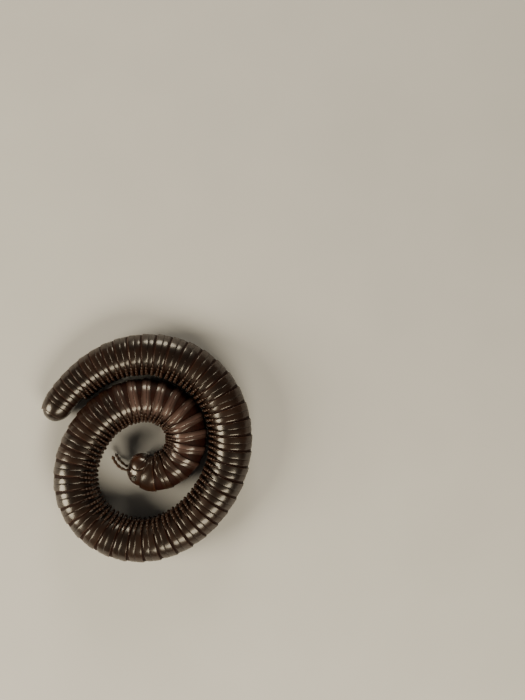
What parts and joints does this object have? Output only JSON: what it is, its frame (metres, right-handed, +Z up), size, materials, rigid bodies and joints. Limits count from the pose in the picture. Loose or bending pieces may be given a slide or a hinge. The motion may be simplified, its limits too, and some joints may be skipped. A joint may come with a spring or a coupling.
{
  "type": "giant african millipede",
  "caption": "Life-size still model of a giant African millipede resting in a flat coil on its side, with head, feelers, ringed trunk, folded legs and tail valves.",
  "frame": {"origin": "centre of the coil's outline seen from above, on the floor that it lies on", "axes": "+Z up, which is the animal's right flank; seen from above, the body runs counter-clockwise from the head at the middle to the tail at -X +Y"},
  "size_m": [0.059, 0.0638, 0.0114],
  "materials": {
    "shell": "dark brown-black shell with a waxy gloss, duller brown front bands and amber hind margins",
    "head_shell": "smooth glossy dark brown head shell",
    "eye": "glossy black patch of small lenses",
    "limb": "dark reddish-brown jointed limbs, satin"
  },
  "bodies": {
    "root": {"head": "head_shell", "eye_right": "eye", "eye_left": "eye", "antenna_right": "limb", "antenna_left": "limb", "collum": "shell", "trunk_01": "shell", "trunk_02": "shell", "trunk_03": "shell", "trunk_04": "shell", "trunk_05": "shell", "trunk_06": "shell", "trunk_07": "shell", "trunk_08": "shell", "trunk_09": "shell", "trunk_10": "shell", "trunk_11": "shell", "trunk_12": "shell", "tail_ring": "shell", "tail_valve_right": "shell", "tail_valve_left": "shell"}
  },
  "joints": []
}
